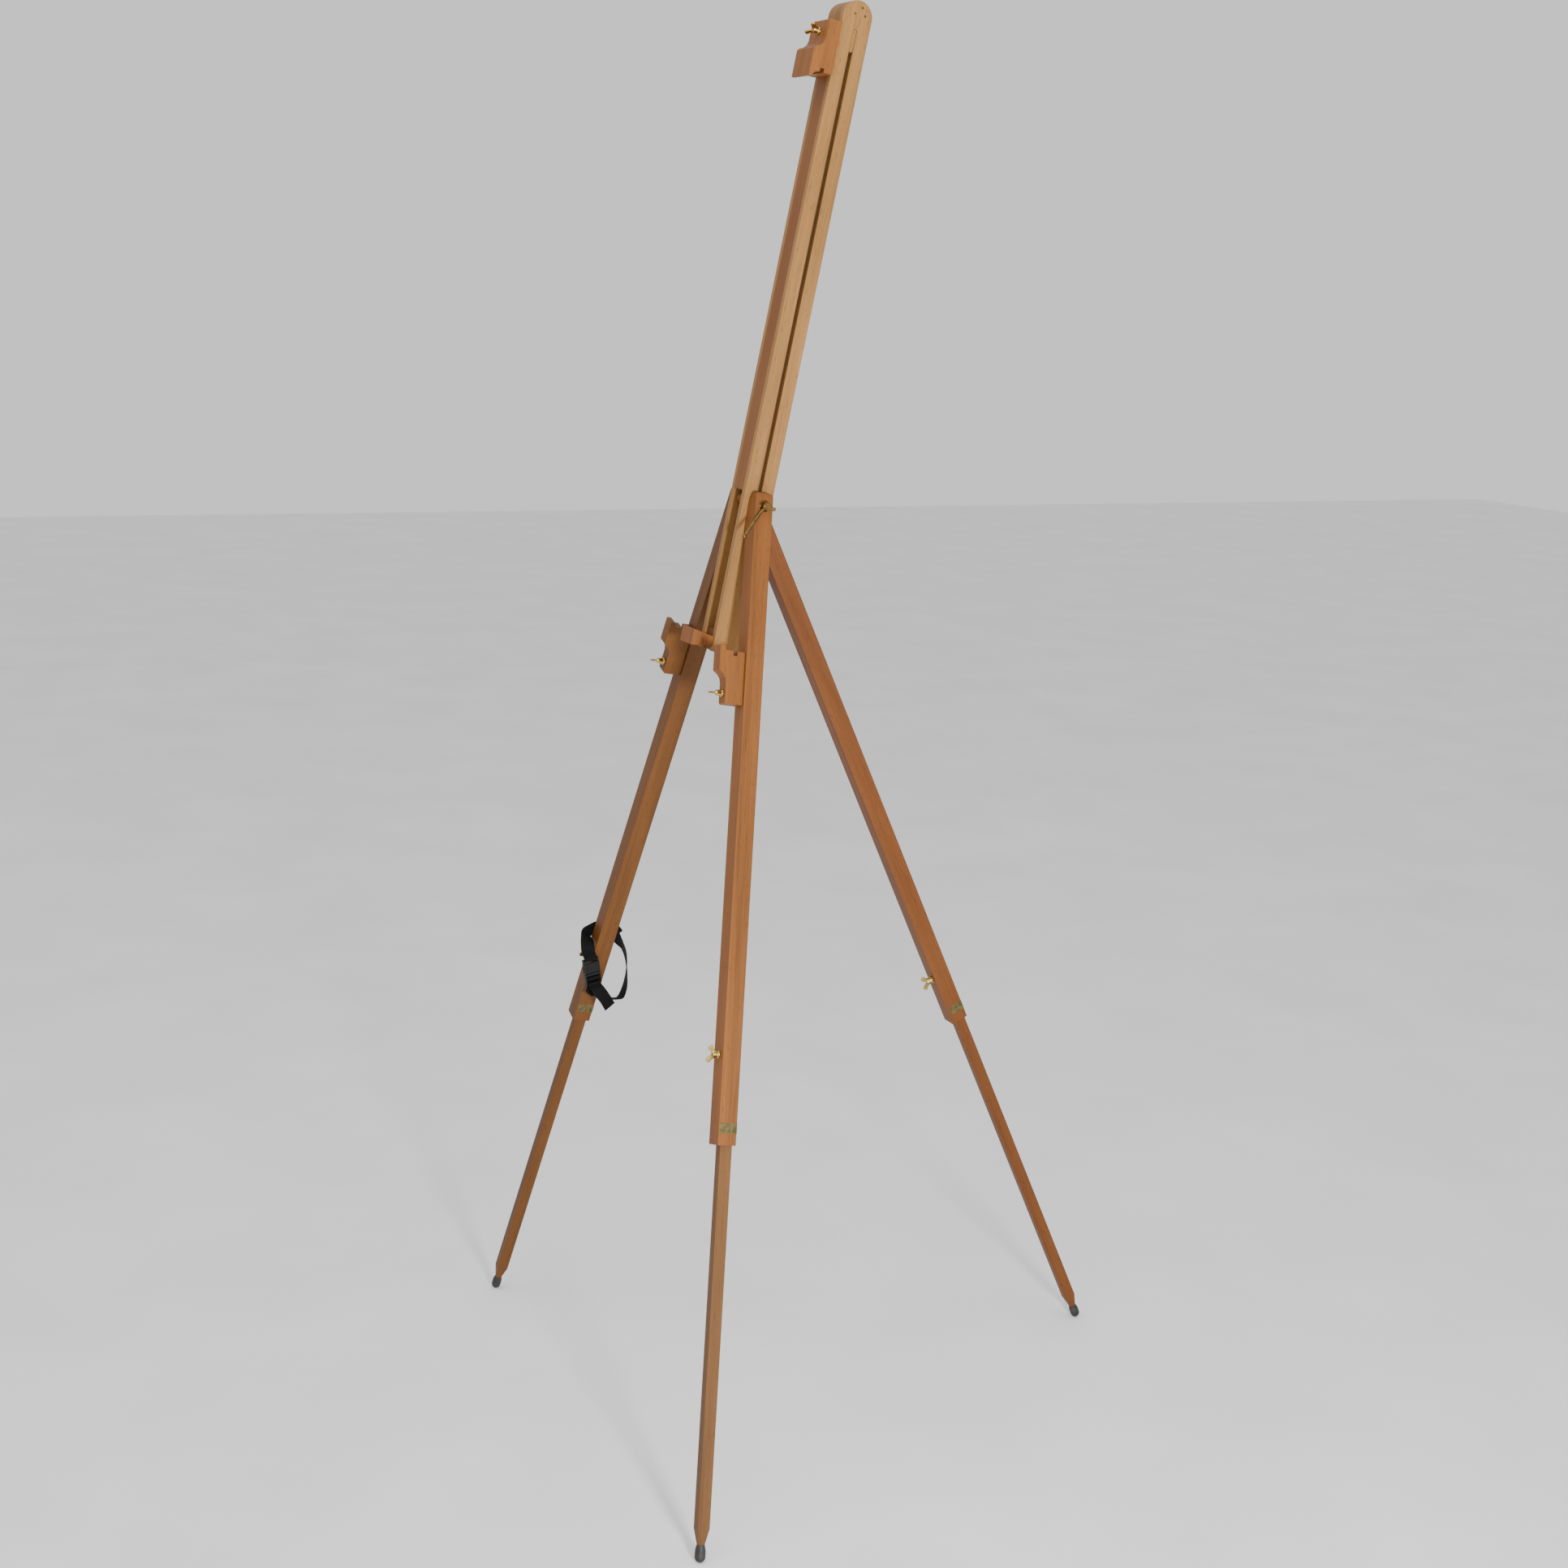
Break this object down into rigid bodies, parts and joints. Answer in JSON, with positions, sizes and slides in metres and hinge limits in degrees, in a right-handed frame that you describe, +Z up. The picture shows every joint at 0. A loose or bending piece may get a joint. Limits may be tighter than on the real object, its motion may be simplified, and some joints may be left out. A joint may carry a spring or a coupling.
{
  "type": "wooden artist easel",
  "caption": "Folding three-legged wooden field easel: telescoping legs and a slotted sliding mast on one clamp bolt, with grooved canvas rests, wing screws and a carrying strap.",
  "frame": {"origin": "on the floor, under the middle of the easel's outer box", "axes": "+Z up, the canvas side faces -Y, X runs along the clamp bolt and through the two front legs"},
  "size_m": [0.892, 0.8714, 2.0275],
  "materials": {
    "leg_wood": "oiled beech, orange brown",
    "mast_wood": "oiled beech, paler",
    "brass": "worn plated",
    "dark_steel": "dull",
    "rubber": "matt black",
    "webbing": "black polypropylene weave",
    "buckle_plastic": "black moulded"
  },
  "bodies": {
    "near_leg": {"near_upper_leg": "leg_wood", "near_leg_clip": "dark_steel", "near_leg_insert": "brass", "near_holder_insert": "brass", "main_bolt": "brass", "near_bolt_washer": "brass", "far_bolt_washer": "brass"},
    "clamp_lever": {"lever_hub": "brass", "lever_arm": "brass", "lever_tail": "brass"},
    "far_leg": {"far_upper_leg": "leg_wood", "far_leg_clip": "dark_steel", "far_leg_insert": "brass", "far_holder_insert": "brass", "strap_loop": "webbing", "strap_tail": "webbing", "buckle_socket": "buckle_plastic", "buckle_plug": "buckle_plastic"},
    "rear_leg": {"rear_upper_leg": "leg_wood", "rear_leg_clip": "dark_steel", "rear_leg_insert": "brass"},
    "near_lower": {"near_lower_leg": "leg_wood", "near_foot": "rubber"},
    "far_lower": {"far_lower_leg": "leg_wood", "far_foot": "rubber"},
    "rear_lower": {"rear_lower_leg": "leg_wood", "rear_foot": "rubber"},
    "near_wing": {"near_leg_wing_bolt": "brass"},
    "far_wing": {"far_leg_wing_bolt": "brass"},
    "rear_wing": {"rear_leg_wing_bolt": "brass"},
    "near_rest": {"near_holder": "leg_wood"},
    "far_rest": {"far_holder": "leg_wood"},
    "near_rest_wing": {"near_holder_wing_screw": "brass"},
    "far_rest_wing": {"far_holder_wing_screw": "brass"},
    "mast_swivel": {"pivot_washers": "brass"},
    "mast": {"mast_near_board": "mast_wood", "mast_far_board": "mast_wood", "mast_top_block": "mast_wood", "mast_spacer": "mast_wood", "mast_ledge": "mast_wood", "mast_nails": "dark_steel", "ledge_dowels": "mast_wood"},
    "top_rest": {"top_holder": "mast_wood", "sliding_lath": "mast_wood", "tongue_block": "mast_wood", "tongue_insert": "brass"},
    "top_wing": {"top_wing_screw": "brass"}
  },
  "joints": [
    {"name": "far_leg_fold", "type": "hinge", "parent": "near_leg", "child": "far_leg", "pos_m": [0, -0.20631, 1.35], "axis": [-1, 0, 0], "range_deg": [-30, 30]},
    {"name": "rear_leg_fold", "type": "hinge", "parent": "near_leg", "child": "rear_leg", "pos_m": [0, -0.20631, 1.35], "axis": [-1, 0, 0], "range_deg": [-12, 32]},
    {"name": "mast_tilt", "type": "hinge", "parent": "near_leg", "child": "mast_swivel", "pos_m": [0, -0.20631, 1.35], "axis": [-1, 0, 0], "range_deg": [-12, 75]},
    {"name": "mast_slide", "type": "slide", "parent": "mast_swivel", "child": "mast", "axis": [0, -0.1891, -0.982], "range_m": [-0.078, 0.54]},
    {"name": "top_rest_slide", "type": "slide", "parent": "mast", "child": "top_rest", "axis": [0, 0.1891, 0.982], "range_m": [-0.19, 0]},
    {"name": "near_leg_slide", "type": "slide", "parent": "near_leg", "child": "near_lower", "axis": [-0.2857, 0.1582, 0.9452], "range_m": [-0.1, 0.48]},
    {"name": "near_wing_turn", "type": "hinge", "parent": "near_leg", "child": "near_wing", "pos_m": [0.25012, -0.34625, 0.63496], "axis": [0, -0.9863, 0.165], "continuous": true},
    {"name": "far_leg_slide", "type": "slide", "parent": "far_leg", "child": "far_lower", "axis": [0.2857, 0.1582, 0.9452], "range_m": [-0.1, 0.48]},
    {"name": "far_wing_turn", "type": "hinge", "parent": "far_leg", "child": "far_wing", "pos_m": [-0.25012, -0.34625, 0.63496], "axis": [0, -0.9863, 0.165], "continuous": true},
    {"name": "rear_leg_slide", "type": "slide", "parent": "rear_leg", "child": "rear_lower", "axis": [0, -0.4258, 0.9048], "range_m": [-0.1, 0.5]},
    {"name": "rear_wing_turn", "type": "hinge", "parent": "rear_leg", "child": "rear_wing", "pos_m": [0, 0.11877, 0.61219], "axis": [0, -0.9048, -0.4258], "continuous": true},
    {"name": "near_rest_swivel", "type": "hinge", "parent": "near_leg", "child": "near_rest", "pos_m": [0.11014, -0.27861, 1.09975], "axis": [0, -0.9863, 0.165], "range_deg": [-90, 90]},
    {"name": "near_rest_wing_turn", "type": "hinge", "parent": "near_rest", "child": "near_rest_wing", "pos_m": [0.11014, -0.2934, 1.10223], "axis": [0, -0.9863, 0.165], "continuous": true},
    {"name": "far_rest_swivel", "type": "hinge", "parent": "far_leg", "child": "far_rest", "pos_m": [-0.10785, -0.27734, 1.10731], "axis": [0, -0.9863, 0.165], "range_deg": [-90, 90]},
    {"name": "far_rest_wing_turn", "type": "hinge", "parent": "far_rest", "child": "far_rest_wing", "pos_m": [-0.10785, -0.29214, 1.10979], "axis": [0, -0.9863, 0.165], "continuous": true},
    {"name": "top_wing_turn", "type": "hinge", "parent": "top_rest", "child": "top_wing", "pos_m": [0, -0.12948, 1.98696], "axis": [0, -0.982, 0.1891], "continuous": true},
    {"name": "clamp_lever_turn", "type": "hinge", "parent": "near_leg", "child": "clamp_lever", "pos_m": [0.05, -0.20631, 1.35], "axis": [1, 0, 0], "range_deg": [-15, 180]}
  ]
}
